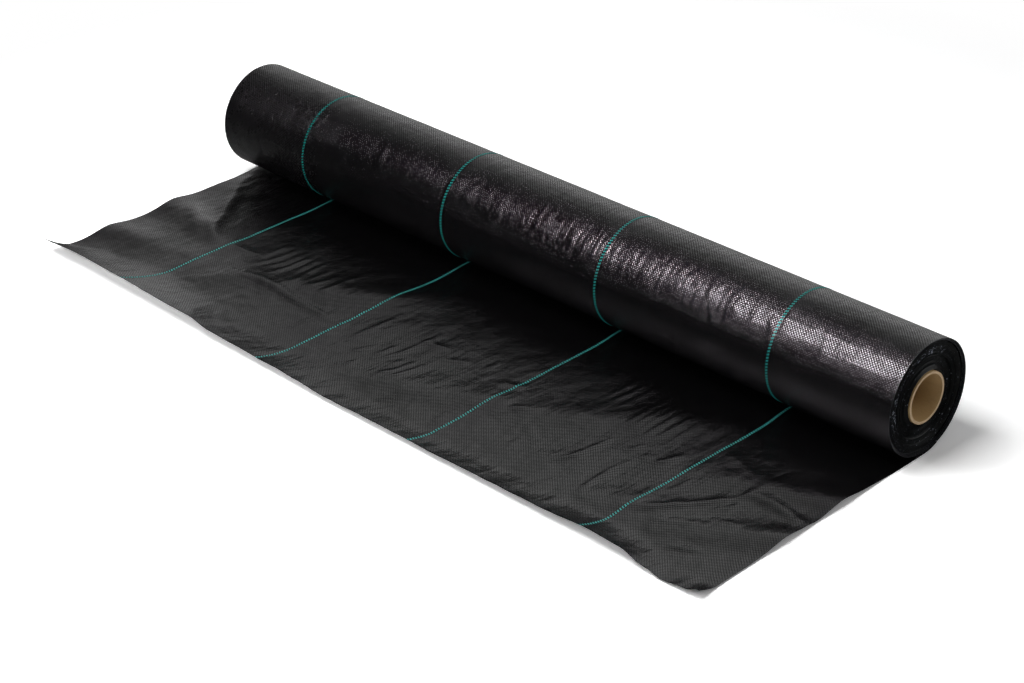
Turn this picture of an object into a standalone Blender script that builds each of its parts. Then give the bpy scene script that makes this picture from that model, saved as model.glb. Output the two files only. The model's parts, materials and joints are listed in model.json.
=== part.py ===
"""Roll of woven weed control fabric, partly unrolled, as separate solids.

Frame: +X runs along the roll, +Y points away from the free edge, +Z is up.
The origin is on the floor, right under the middle of the roll. The roll lies
across Y = 0 and the unrolled sheet runs from it towards -Y. The fabric leaves
the roll at the floor, so its outermost turn climbs the back of the roll, goes
over the top and comes down the front.
Blender 4.5, metres.
"""

import math
from typing import NamedTuple

import bmesh
import bpy
import numpy as np

# Roll and core
ROLL_WIDTH = 1.0
ROLL_RADIUS = 0.063
CORE_BORE_RADIUS = 0.025
CORE_WALL = 0.003
CORE_RECESS = 0.0015
FABRIC_THICKNESS = 0.0004
TOUCH_GAP = 0.0003

# Loose outer turns over the tight wound body
LOOSE_TURNS = 4
TURN_PITCH = 0.0009
TURN_EDGE_STEP = 0.0008
WRAP_ANGLE = math.radians(20)
CONTACT_REACH = 0.007

# Ends of the tight wound body, dished between the outer turns and the core
END_DISH = 0.0065
END_BAND_SHARES = (  # share of the way from core to outside, share of the dish
    (0.00, 0.70),
    (0.14, 0.92),
    (0.50, 1.00),
    (0.52, 0.78),
    (0.70, 0.74),
    (0.72, 0.58),
    (1.00, 0.52),
)

# Tape that holds the first turn on the core
TAPE_THICKNESS = 0.0002
TAPE_WIDTH = 0.048
TAPE_WRAP = math.radians(70)
TAPE_PLACE_SHARES = (-0.42, 0.0, 0.42)

# Woven marker lines
MARKER_COUNT = 4
MARKER_PITCH = 0.2345
MARKER_SHIFT = -0.004
MARKER_DRIFT = 0.0055
DRIFT_REACH = 0.065
MARKER_WIDTH = 0.003
MARKER_THICKNESS = 0.0002

# Unrolled sheet
SHEET_LENGTH = 0.3405
NIP_REACH = 0.0185
SIDE_DRAW_IN = 0.0105
FLAT_RUN = 0.024
FLAT_CUT = 0.0005
EDGE_LIFT = 0.020
EDGE_CURL_POWER = 1.5
FOLD_RISE = 0.006
SIDE_DRAW_SHARES = (  # place along the sheet, share of the far side's draw in
    (0.00, 0.30),
    (0.22, 0.95),
    (0.90, 1.00),
    (1.00, 0.60),
)
NEAR_DRAW_SHARE = 0.08
EDGE_LIFT_SHARES = (  # place across the width, share of the free edge's lift
    (-0.500, 0.78),
    (-0.440, 0.94),
    (-0.350, 0.94),
    (-0.235, 0.76),
    (-0.200, 0.55),
    (-0.110, 0.44),
    (-0.013, 0.27),
    (0.137, 0.30),
    (0.289, 0.44),
    (0.352, 0.60),
    (0.395, 0.57),
    (0.435, 0.24),
    (0.455, 0.04),
    (0.483, 0.18),
    (0.500, 0.44),
)
CURL_REACH_SHARES = (  # place across the width, share of the sheet's length
    (-0.50, 0.085),
    (-0.45, 0.150),
    (-0.35, 0.200),
    (-0.25, 0.180),
    (-0.11, 0.130),
    (0.12, 0.095),
    (0.35, 0.120),
    (0.50, 0.080),
)


class Fold(NamedTuple):
    """One long soft ripple of the sheet, in shares of the sheet's own sizes."""

    across_share: float
    along_share: float
    heading: float
    run_share: float
    spread_share: float
    rise_share: float


FOLD_SHARES = (
    Fold(-0.50, 0.46, math.radians(-12), 0.16, 0.070, 0.95),
    Fold(-0.50, 0.74, math.radians(10), 0.13, 0.070, 0.85),
    Fold(-0.24, 0.60, math.radians(28), 0.11, 0.075, 0.55),
    Fold(-0.10, 0.36, math.radians(42), 0.10, 0.080, 0.50),
    Fold(0.06, 0.72, math.radians(24), 0.12, 0.075, 0.60),
    Fold(0.24, 0.46, math.radians(38), 0.11, 0.080, 0.55),
    Fold(0.50, 0.38, math.radians(20), 0.12, 0.070, 0.90),
    Fold(0.50, 0.62, math.radians(32), 0.12, 0.065, 0.85),
    Fold(0.33, 0.80, math.radians(30), 0.09, 0.065, 0.50),
)

# How finely the curved pieces are divided
TURN_STEPS = 72
CORE_STEPS = 48
PANEL_COLUMNS = 8
SHEET_ROWS = 12
ROW_CROWDING = 1.4
LEAD_FLAT_ROWS = 2
LEAD_WRAP_ROWS = 5
TAPE_STEPS = 7

# Sizes that follow from the ones above
RUNNING_GAP = 2 * TOUCH_GAP + MARKER_THICKNESS
AXIS_HEIGHT = ROLL_RADIUS + RUNNING_GAP + FABRIC_THICKNESS
CORE_RADIUS = CORE_BORE_RADIUS + CORE_WALL
CORE_HALF = ROLL_WIDTH / 2 - CORE_RECESS
WOUND_BORE_RADIUS = CORE_RADIUS + TOUCH_GAP + TAPE_THICKNESS + TOUCH_GAP
WOUND_RADIUS = ROLL_RADIUS - LOOSE_TURNS * TURN_PITCH - FABRIC_THICKNESS - TOUCH_GAP
MARKER_PLACES = [
    MARKER_SHIFT + (i - (MARKER_COUNT - 1) / 2) * MARKER_PITCH for i in range(MARKER_COUNT)
]


def clear_scene():
    """Remove every object that the scene holds."""
    for obj in list(bpy.data.objects):
        bpy.data.objects.remove(obj, do_unlink=True)


def finish(name, colour, roughness):
    """Return a Principled material of one colour."""
    mat = bpy.data.materials.new(name)
    mat.use_nodes = True
    shader = mat.node_tree.nodes["Principled BSDF"]
    shader.inputs["Base Color"].default_value = (*colour, 1.0)
    shader.inputs["Roughness"].default_value = roughness
    shader.inputs["Metallic"].default_value = 0.0
    return mat


def place(name, mesh, mat, parent):
    """Link a mesh as a smooth shaded object under its parent empty."""
    mesh.materials.append(mat)
    mesh.shade_smooth()
    mesh.set_sharp_from_angle(angle=math.radians(30))
    obj = bpy.data.objects.new(name, mesh)
    bpy.context.scene.collection.objects.link(obj)
    obj.parent = parent
    return obj


def add_axis(name, location, parent=None):
    """Add an empty that a moving group of pieces hangs on."""
    empty = bpy.data.objects.new(name, None)
    bpy.context.scene.collection.objects.link(empty)
    empty.parent = parent
    empty.location = location
    return empty


def smooth_step(t):
    """Ease from 0 to 1 with level ends."""
    t = np.clip(t, 0.0, 1.0)
    return t * t * (3.0 - 2.0 * t)


def eased(table, x):
    """Read a table of (place, value) rows at x, easing from row to row."""
    places = np.array([row[0] for row in table])
    values = np.array([row[1] for row in table])
    x = np.clip(x, places[0], places[-1])
    row = np.clip(np.searchsorted(places, x, side="right") - 1, 0, len(places) - 2)
    t = (x - places[row]) / (places[row + 1] - places[row])
    return values[row] + (values[row + 1] - values[row]) * smooth_step(t)


def web(name, points, thickness, mat, parent):
    """Make a thin closed solid that grows from a grid of points on one of its faces.

    It grows along the cross product of the columns' direction and the rows'.
    """
    rows, columns = points.shape[:2]
    faces = [
        (i * columns + j, i * columns + j + 1, (i + 1) * columns + j + 1, (i + 1) * columns + j)
        for i in range(rows - 1)
        for j in range(columns - 1)
    ]
    mesh = bpy.data.meshes.new(name)
    mesh.from_pydata(points.reshape(-1, 3).tolist(), [], faces)
    obj = place(name, mesh, mat, parent)
    solid = obj.modifiers.new("thickness", "SOLIDIFY")
    solid.thickness = thickness
    solid.offset = 1.0
    return obj


def turned(name, profile, steps, mat, parent):
    """Turn a closed outline of (x, radius) points about the roll's axis."""
    mesh = bpy.data.meshes.new(name)
    bm = bmesh.new()
    ring = [bm.verts.new((x, 0.0, radius)) for x, radius in profile]
    for a, b in zip(ring, ring[1:] + ring[:1]):
        bm.edges.new((a, b))
    bmesh.ops.spin(
        bm,
        geom=list(bm.verts) + list(bm.edges),
        cent=(0.0, 0.0, 0.0),
        axis=(1.0, 0.0, 0.0),
        angle=math.tau,
        steps=steps,
        use_merge=True,
    )
    bmesh.ops.recalc_face_normals(bm, faces=bm.faces)
    bm.to_mesh(mesh)
    bm.free()
    return place(name, mesh, mat, parent)


def around(radius, angle):
    """Return y and z, about the roll's axis, at an angle from straight down."""
    return radius * np.sin(angle), -radius * np.cos(angle)


def add_core(parent):
    """Cardboard tube that the fabric is wound on."""
    board = finish("core board", (0.46, 0.34, 0.20), 0.85)
    profile = [
        (-CORE_HALF, CORE_BORE_RADIUS),
        (CORE_HALF, CORE_BORE_RADIUS),
        (CORE_HALF, CORE_RADIUS),
        (-CORE_HALF, CORE_RADIUS),
    ]
    return turned("core_tube", profile, CORE_STEPS, board, parent)


def add_start_tape(parent):
    """Strips of tape, under the first turn, that hold it to the core."""
    tape = finish("tape", (0.62, 0.52, 0.36), 0.4)
    angle = np.linspace(0.0, TAPE_WRAP, TAPE_STEPS)
    y, z = around(CORE_RADIUS + TOUCH_GAP, angle)
    for number, share in enumerate(TAPE_PLACE_SHARES, start=1):
        middle = share * ROLL_WIDTH
        grid = np.empty((2, TAPE_STEPS, 3))
        grid[..., 1] = y
        grid[..., 2] = z
        grid[0, :, 0] = middle - TAPE_WIDTH / 2
        grid[1, :, 0] = middle + TAPE_WIDTH / 2
        web(f"start_tape_{number}", grid, TAPE_THICKNESS, tape, parent)


def add_wound_body(parent):
    """Tight turns of fabric, with a dished face of stepped bands at each end."""
    fabric = finish("wound fabric", (0.012, 0.012, 0.013), 0.45)
    right = [
        (
            ROLL_WIDTH / 2 - dish * END_DISH,
            WOUND_BORE_RADIUS + share * (WOUND_RADIUS - WOUND_BORE_RADIUS),
        )
        for share, dish in END_BAND_SHARES
    ]
    left = [(-x, radius) for x, radius in reversed(right)]
    return turned("wound_fabric", right + left, TURN_STEPS, fabric, parent)


def loose_turn_angles():
    """Angles along the loose turns, from the outermost end inwards."""
    return WRAP_ANGLE + np.linspace(0.0, math.tau * LOOSE_TURNS, LOOSE_TURNS * TURN_STEPS + 1)


def add_outer_turns(parent):
    """Loose outer turns, one unbroken web that winds inwards at a steady rate."""
    fabric = finish("outer turns", (0.014, 0.014, 0.015), 0.38)
    angle = loose_turn_angles()
    turn = (angle - angle[0]) / math.tau
    y, z = around(ROLL_RADIUS - FABRIC_THICKNESS - TURN_PITCH * turn, angle)
    reach = ROLL_WIDTH / 2 - TURN_EDGE_STEP * turn
    grid = np.empty((2, len(angle), 3))
    grid[..., 1] = y
    grid[..., 2] = z
    grid[0, :, 0] = -reach
    grid[1, :, 0] = reach
    inner = np.hypot(y[:-TURN_STEPS], z[:-TURN_STEPS])
    outer = np.hypot(y[TURN_STEPS:], z[TURN_STEPS:]) + FABRIC_THICKNESS
    print(f"outer_turns least gap to itself {np.min(inner - outer) * 1000:.3f} mm")
    return web("outer_turns", grid, FABRIC_THICKNESS, fabric, parent)


def add_roll_markers(parent):
    """Marker lines where they pass round the outermost turn."""
    teal = finish("marker tape", (0.012, 0.30, 0.26), 0.4)
    inside = ROLL_RADIUS + TOUCH_GAP
    outside = inside + MARKER_THICKNESS
    for number, middle in enumerate(MARKER_PLACES, start=1):
        low, high = middle - MARKER_WIDTH / 2, middle + MARKER_WIDTH / 2
        profile = [(low, inside), (high, inside), (high, outside), (low, outside)]
        turned(f"roll_marker_{number}", profile, TURN_STEPS, teal, parent)


def add_lead_off(parent):
    """Fabric between roll and floor, and its first climb up the back of the roll."""
    fabric = finish("lead off fabric", (0.012, 0.012, 0.013), 0.4)
    flat = np.linspace(-NIP_REACH + TOUCH_GAP, CONTACT_REACH, LEAD_FLAT_ROWS + 1)
    lift_off = math.asin(CONTACT_REACH / AXIS_HEIGHT)
    angle = np.linspace(lift_off, WRAP_ANGLE, LEAD_WRAP_ROWS + 1)[1:]
    y, z = around(AXIS_HEIGHT, angle)
    rows = np.concatenate([flat, y])
    grid = np.zeros((len(rows), 2, 3))
    grid[:, 0, 0] = -ROLL_WIDTH / 2
    grid[:, 1, 0] = ROLL_WIDTH / 2
    grid[..., 1] = rows[:, None]
    grid[len(flat):, :, 2] = (z + AXIS_HEIGHT)[:, None]
    return web("lead_off", grid, FABRIC_THICKNESS, fabric, parent)


def sheet_columns():
    """Places across the sheet, with a column of its own for each marker line."""
    edges = [-ROLL_WIDTH / 2]
    for middle in MARKER_PLACES:
        edges += [middle - MARKER_WIDTH / 2, middle + MARKER_WIDTH / 2]
    edges.append(ROLL_WIDTH / 2)
    columns = []
    for low, high in zip(edges[0::2], edges[1::2]):
        columns.append(np.linspace(low, high, PANEL_COLUMNS + 1))
    return np.concatenate(columns)


def edge_curl(x):
    """Lift of the free edge, and how far back the curl reaches, across the width."""
    lift = eased(EDGE_LIFT_SHARES, x / ROLL_WIDTH) * EDGE_LIFT
    return lift, eased(CURL_REACH_SHARES, x / ROLL_WIDTH) * SHEET_LENGTH


def sheet_height(x, y, to_edge):
    """Height of the sheet's underside: folds, and the curl of the free edge."""
    height = np.zeros_like(x)
    for fold in FOLD_SHARES:
        dx = x - fold.across_share * ROLL_WIDTH
        dy = y + fold.along_share * SHEET_LENGTH
        run = dx * math.cos(fold.heading) + dy * math.sin(fold.heading)
        side = dy * math.cos(fold.heading) - dx * math.sin(fold.heading)
        far = (run / (fold.run_share * ROLL_WIDTH)) ** 2
        wide = (side / (fold.spread_share * SHEET_LENGTH)) ** 2
        height += fold.rise_share * FOLD_RISE * np.exp(-far - wide)
    lift, reach = edge_curl(x)
    height += lift * np.clip(1.0 - to_edge / reach, 0.0, 1.0) ** EDGE_CURL_POWER
    flat_to_free = smooth_step((-y - NIP_REACH - FLAT_RUN) / (2 * FLAT_RUN))
    return np.maximum(height * flat_to_free - FLAT_CUT, 0.0)


def sheet_grid():
    """Grid of points on the sheet's underside, row by row from roll to free edge.

    The curled edge draws back by half its squared slope, summed over the curl. The
    sides draw in a little, and the marker lines drift sideways as they leave the roll.
    """
    across = sheet_columns()
    along = 1.0 - np.linspace(1.0, 0.0, SHEET_ROWS + 1) ** ROW_CROWDING
    x = np.tile(across, (SHEET_ROWS + 1, 1))
    lift, curl_reach = edge_curl(across)
    taken_up = (EDGE_CURL_POWER * lift) ** 2 / (2 * (2 * EDGE_CURL_POWER - 1) * curl_reach)
    reach = SHEET_LENGTH - taken_up
    y = -NIP_REACH - along[:, None] * (reach - NIP_REACH)
    z = sheet_height(x, y, reach + y)
    far_side = smooth_step((MARKER_PLACES[0] - x) / (MARKER_PLACES[0] + ROLL_WIDTH / 2))
    near_side = smooth_step((x - MARKER_PLACES[-1]) / (ROLL_WIDTH / 2 - MARKER_PLACES[-1]))
    drawn = eased(SIDE_DRAW_SHARES, np.clip(-y / SHEET_LENGTH, 0.0, 1.0)) * SIDE_DRAW_IN
    drift = smooth_step((-y - NIP_REACH) / DRIFT_REACH) * MARKER_DRIFT
    x += drawn * (far_side - NEAR_DRAW_SHARE * near_side)
    x += drift * (1.0 - far_side - near_side)
    return np.stack([x, y, z], axis=-1)


def add_laid_sheet(grid, parent):
    """Unrolled fabric on the floor, with its main folds and lifted corners."""
    fabric = finish("laid fabric", (0.016, 0.016, 0.016), 0.4)
    return web("laid_sheet", grid[::-1], FABRIC_THICKNESS, fabric, parent)


def add_sheet_markers(grid, parent):
    """Marker lines along the unrolled sheet, each over its own column."""
    teal = finish("laid marker tape", (0.012, 0.30, 0.26), 0.4)
    lift = np.array([0.0, 0.0, FABRIC_THICKNESS + TOUCH_GAP])
    for number in range(1, MARKER_COUNT + 1):
        first = number * (PANEL_COLUMNS + 1) - 1
        strip = grid[::-1, first:first + 2] + lift
        web(f"sheet_marker_{number}", strip, MARKER_THICKNESS, teal, parent)


def main():
    """Build every piece of the roll."""
    clear_scene()
    travel = add_axis("travel", (0.0, 0.0, 0.0))
    turn = add_axis("turn", (0.0, 0.0, AXIS_HEIGHT), travel)
    add_core(turn)
    add_start_tape(turn)
    add_wound_body(turn)
    add_outer_turns(turn)
    add_roll_markers(turn)
    add_lead_off(travel)
    grid = sheet_grid()
    add_laid_sheet(grid, None)
    add_sheet_markers(grid, None)


main()
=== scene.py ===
"""Looks of a roll of woven weed control fabric, partly unrolled on a white floor.

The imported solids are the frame. All but the start tapes are replaced here by finer
surfaces of the same size, worked out on grids, and every surface gets a finish.

Frame: metres, +X along the roll to its near end, +Y away from the sheet's free
edge, +Z up. The origin is on the floor under the middle of the roll.
Blender 4.5.
"""

import json
import logging
import math
from abc import ABC, abstractmethod
from dataclasses import dataclass
from enum import Enum
from typing import Any, Callable, NamedTuple

import bpy
import numpy as np
from mathutils import Matrix, Vector

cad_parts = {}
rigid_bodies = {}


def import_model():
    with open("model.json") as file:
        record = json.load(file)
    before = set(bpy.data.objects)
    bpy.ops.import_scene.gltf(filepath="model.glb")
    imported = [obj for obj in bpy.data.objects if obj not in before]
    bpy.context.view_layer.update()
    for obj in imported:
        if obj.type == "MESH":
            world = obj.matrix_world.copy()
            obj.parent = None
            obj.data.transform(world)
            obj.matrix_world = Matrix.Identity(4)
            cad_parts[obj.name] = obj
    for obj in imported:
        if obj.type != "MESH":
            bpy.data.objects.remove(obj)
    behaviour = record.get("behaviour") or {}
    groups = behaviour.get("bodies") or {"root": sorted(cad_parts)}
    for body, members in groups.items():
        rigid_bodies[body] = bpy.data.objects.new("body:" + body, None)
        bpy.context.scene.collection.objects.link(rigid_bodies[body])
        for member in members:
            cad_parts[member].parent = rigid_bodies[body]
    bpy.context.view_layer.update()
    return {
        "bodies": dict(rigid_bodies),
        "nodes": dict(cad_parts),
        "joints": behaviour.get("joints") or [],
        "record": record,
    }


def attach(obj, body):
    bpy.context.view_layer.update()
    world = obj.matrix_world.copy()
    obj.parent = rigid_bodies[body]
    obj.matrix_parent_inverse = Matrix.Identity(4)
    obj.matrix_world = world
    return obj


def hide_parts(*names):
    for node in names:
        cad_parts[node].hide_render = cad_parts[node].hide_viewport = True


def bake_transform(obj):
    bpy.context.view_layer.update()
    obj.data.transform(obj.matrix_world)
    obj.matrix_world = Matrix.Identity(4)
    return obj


log = logging.getLogger("weed control fabric roll")

Pair = tuple[float, float]
Triple = tuple[float, float, float]
Table = tuple[Pair, ...]
ArrayPair = tuple[np.ndarray, np.ndarray]
Surface = Callable[[np.ndarray, np.ndarray], ArrayPair]

# Sizes that the roll, the sheet and the marker lines share
ROLL_WIDTH = 1.0
ROLL_RADIUS = 0.063
AXIS_HEIGHT = 0.0642
FABRIC_THICKNESS = 0.0004
WRAP_ANGLE = math.radians(20)
TAPE_PITCH = 0.00175
MIDDLE_CELL = 400.0
MARKER_PLACES = (-0.35575, -0.12125, 0.11325, 0.34775)

# Cells after which a random field repeats, and the bend that makes a hard edge
LATTICE = 64
SHARP_ANGLE = math.radians(50)


class Slot(Enum):
    """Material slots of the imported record."""

    CORE = "core_board"
    TAPE = "tape"
    WOUND = "wound_fabric"
    OUTER = "outer_fabric"
    LAID = "laid_fabric"
    MARKER = "marker_tape"


class Body(Enum):
    """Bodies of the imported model."""

    SHEET = "ground_sheet"
    LEAD = "lead"
    ROLL = "roll"


# ---------------------------------------------------------------- grids and noise


def smooth_step(t: np.ndarray) -> np.ndarray:
    """Ease from 0 to 1 with level ends: 3t² - 2t³, with t clipped to 0..1."""
    t = np.clip(t, 0.0, 1.0)
    return t * t * (3.0 - 2.0 * t)


def eased(table: Table, x: np.ndarray) -> np.ndarray:
    """Read a table of (place, value) rows at x, easing from row to row.

    Args:
        table: rows of place and value, with rising places.
        x: where to read it.

    Returns:
        The values at x, level at each row and at both ends.
    """
    places, values = (np.array(column) for column in zip(*table))
    x = np.clip(x, places[0], places[-1])
    row = np.clip(np.searchsorted(places, x, side="right") - 1, 0, len(places) - 2)
    t = (x - places[row]) / (places[row + 1] - places[row])
    return values[row] + (values[row + 1] - values[row]) * smooth_step(t)


def drifting(
    x: np.ndarray | float, y: np.ndarray | float, cell: Pair, seed: int
) -> np.ndarray:
    """Smooth random field: random values on a lattice, eased from corner to corner.

    Args:
        x: first coordinate.
        y: second coordinate, of a shape that goes with x.
        cell: lattice spacing along each coordinate.
        seed: which random field.

    Returns:
        Values from -1 to 1.
    """
    corners = np.random.default_rng(seed).uniform(-1.0, 1.0, (LATTICE, LATTICE))
    x, y = np.broadcast_arrays(x / cell[0], y / cell[1])
    i, j = np.floor(x).astype(int), np.floor(y).astype(int)
    s, t = smooth_step(x - i), smooth_step(y - j)
    i_next, j_next = (i + 1) % LATTICE, (j + 1) % LATTICE
    i, j = i % LATTICE, j % LATTICE
    low = corners[i, j] * (1 - s) + corners[i_next, j] * s
    high = corners[i, j_next] * (1 - s) + corners[i_next, j_next] * s
    return low * (1 - t) + high * t


def stacked(*parts: np.ndarray | float) -> np.ndarray:
    """Join coordinates into points, with the coordinates on the last axis."""
    return np.stack(np.broadcast_arrays(*parts), axis=-1)


def numbered(rows: int, columns: int) -> np.ndarray:
    """Vertex numbers of a grid, row by row."""
    return np.arange(rows * columns).reshape(rows, columns)


def grid_quads(ids: np.ndarray) -> np.ndarray:
    """Quads that join a grid of vertex numbers, row by row.

    Args:
        ids: vertex numbers, rows by columns. A closed grid repeats its first row or column.

    Returns:
        One quad a row, facing along columns' direction crossed with rows' direction.
    """
    return stacked(ids[:-1, :-1], ids[:-1, 1:], ids[1:, 1:], ids[1:, :-1]).reshape(-1, 4)


def add_object(name: str, data: bpy.types.ID) -> bpy.types.Object:
    """Put data into the scene as a new object."""
    obj = bpy.data.objects.new(name, data)
    bpy.context.scene.collection.objects.link(obj)
    return obj


def add_mesh(
    name: str, points: np.ndarray, quads: np.ndarray, weave: np.ndarray | None = None,
    sharp_angle: float | None = None,
) -> bpy.types.Object:
    """Put arrays of vertices and quads into a new smooth shaded mesh object.

    Args:
        name: the piece's name.
        points: vertices, one a row.
        quads: vertex numbers, four a row.
        weave: each vertex's place in the weave, counted in tapes across and along.
        sharp_angle: edges that bend more than this are hard.

    Returns:
        The object, at the origin, with its place in its mesh.
    """
    mesh = bpy.data.meshes.new(name)
    mesh.vertices.add(len(points))
    mesh.vertices.foreach_set("co", np.ascontiguousarray(points, np.float32).ravel())
    mesh.loops.add(quads.size)
    mesh.loops.foreach_set("vertex_index", np.ascontiguousarray(quads, np.int32).ravel())
    mesh.polygons.add(len(quads))
    mesh.polygons.foreach_set("loop_start", np.arange(0, quads.size, 4, dtype=np.int32))
    mesh.update(calc_edges=True)
    if weave is not None:
        layer = mesh.uv_layers.new(name="weave")
        layer.data.foreach_set("uv", weave[quads.ravel()].astype(np.float32).ravel())
    mesh.validate()
    mesh.shade_smooth()
    if sharp_angle is not None:
        mesh.set_sharp_from_angle(angle=sharp_angle)
    return add_object(name, mesh)


def add_shell(
    name: str, outer: np.ndarray, inner: np.ndarray, weave: np.ndarray
) -> bpy.types.Object:
    """Make a thin closed solid between two grids of points, with a rim round it.

    Args:
        name: the piece's name.
        outer: grid that the columns' direction crossed with the rows' faces out of.
        inner: grid on the other face, point for point.
        weave: place in the weave of each grid point.

    Returns:
        The solid.
    """
    ids = numbered(*outer.shape[:2])
    loop = np.concatenate([ids[0], ids[1:, -1], ids[-1, -2::-1], ids[-2::-1, 0]])
    rim = grid_quads(np.stack([loop + ids.size, loop]))
    quads = np.concatenate([grid_quads(ids), grid_quads(ids + ids.size)[:, ::-1], rim])
    points = np.concatenate([outer.reshape(-1, 3), inner.reshape(-1, 3)])
    flat = weave.reshape(-1, 2)
    return add_mesh(name, points, quads, np.concatenate([flat, flat]), SHARP_ANGLE)


def turned(x: np.ndarray, y: np.ndarray, heading: float) -> ArrayPair:
    """Return the run along a heading in degrees from +X, and the distance to its left."""
    turn = math.radians(heading)
    return x * math.cos(turn) + y * math.sin(turn), y * math.cos(turn) - x * math.sin(turn)


def around(radius: np.ndarray | float, angle: np.ndarray) -> ArrayPair:
    """Return y and z, about the roll's axis, at an angle from straight down to the back."""
    return radius * np.sin(angle), AXIS_HEIGHT - radius * np.cos(angle)


# ---------------------------------------------------------------- shader building


class Signal:
    """A number that a shader works out. Sums on it add Math nodes."""

    def __init__(self, wiring: "Wiring", socket: bpy.types.NodeSocket) -> None:
        """Keep the socket and what wires it."""
        self.wiring = wiring
        self.socket = socket

    def __add__(self, other: "Signal | float") -> "Signal":
        """Add."""
        return self.wiring.math("ADD", self, other)

    def __sub__(self, other: "Signal | float") -> "Signal":
        """Subtract."""
        return self.wiring.math("SUBTRACT", self, other)

    def __rsub__(self, other: float) -> "Signal":
        """Subtract from a number."""
        return self.wiring.math("SUBTRACT", other, self)

    def __mul__(self, other: "Signal | float") -> "Signal":
        """Multiply."""
        return self.wiring.math("MULTIPLY", self, other)

    def __truediv__(self, other: "Signal | float") -> "Signal":
        """Divide."""
        return self.wiring.math("DIVIDE", self, other)

    def __pow__(self, other: "Signal | float") -> "Signal":
        """Raise to a power."""
        return self.wiring.math("POWER", self, other)

    __radd__ = __add__
    __rmul__ = __mul__


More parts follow.
